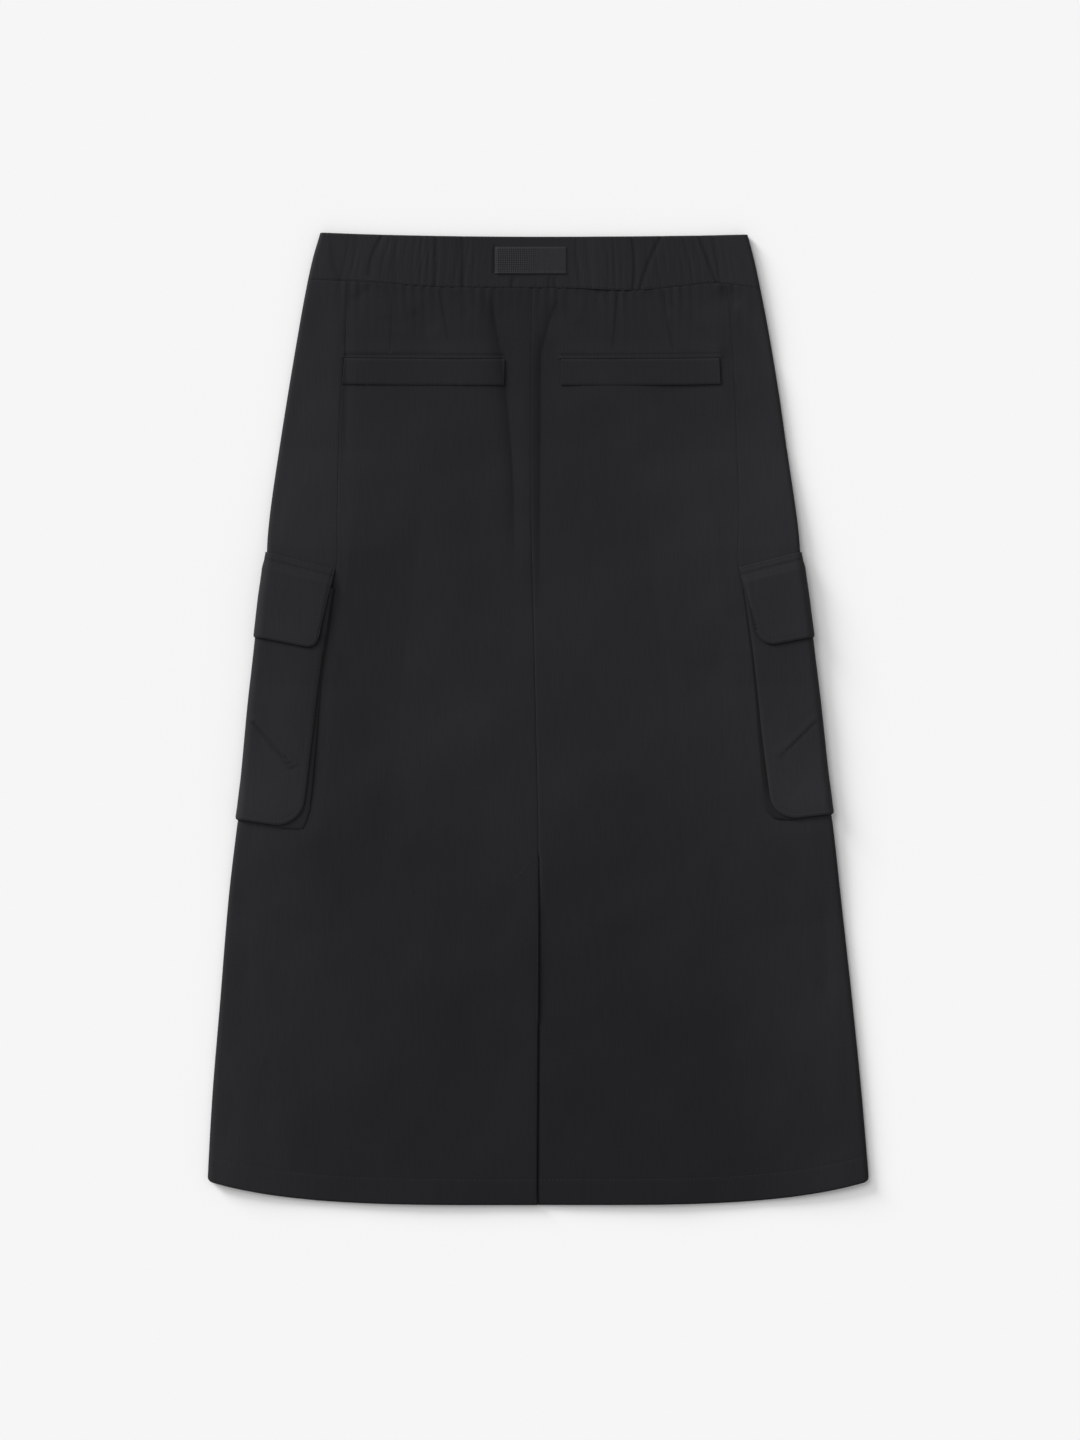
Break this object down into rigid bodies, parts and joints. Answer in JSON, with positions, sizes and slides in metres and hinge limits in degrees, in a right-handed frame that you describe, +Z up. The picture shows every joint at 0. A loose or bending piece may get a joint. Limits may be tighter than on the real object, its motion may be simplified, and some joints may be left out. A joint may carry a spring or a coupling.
{
  "type": "cargo utility skirt",
  "caption": "Long A-line cargo skirt laid flat with its back up: elastic waist, webbing strip, welt pockets, flapped cargo pockets on the side folds and a back vent.",
  "frame": {"origin": "on the surface that the skirt lies on, under the middle of its outline", "axes": "+X across the skirt, +Y along its length towards the waist, +Z up out of the back of the skirt"},
  "size_m": [0.5744, 0.8446, 0.0135],
  "materials": {
    "twill": "matt black tightly woven cotton and nylon twill",
    "webbing": "ribbed black polyester webbing"
  },
  "bodies": {
    "root": {"waistband_back": "twill", "waistband_front": "twill", "webbing_tab": "webbing", "back_panel_left": "twill", "back_panel_right": "twill", "vent_underlap": "twill", "side_panel_left": "twill", "side_panel_right": "twill", "front_panel": "twill", "welt_left": "twill", "welt_right": "twill", "cargo_pocket_left": "twill", "cargo_gusset_left": "twill", "cargo_flap_left": "twill", "cargo_pocket_right": "twill", "cargo_gusset_right": "twill", "cargo_flap_right": "twill"}
  },
  "joints": []
}
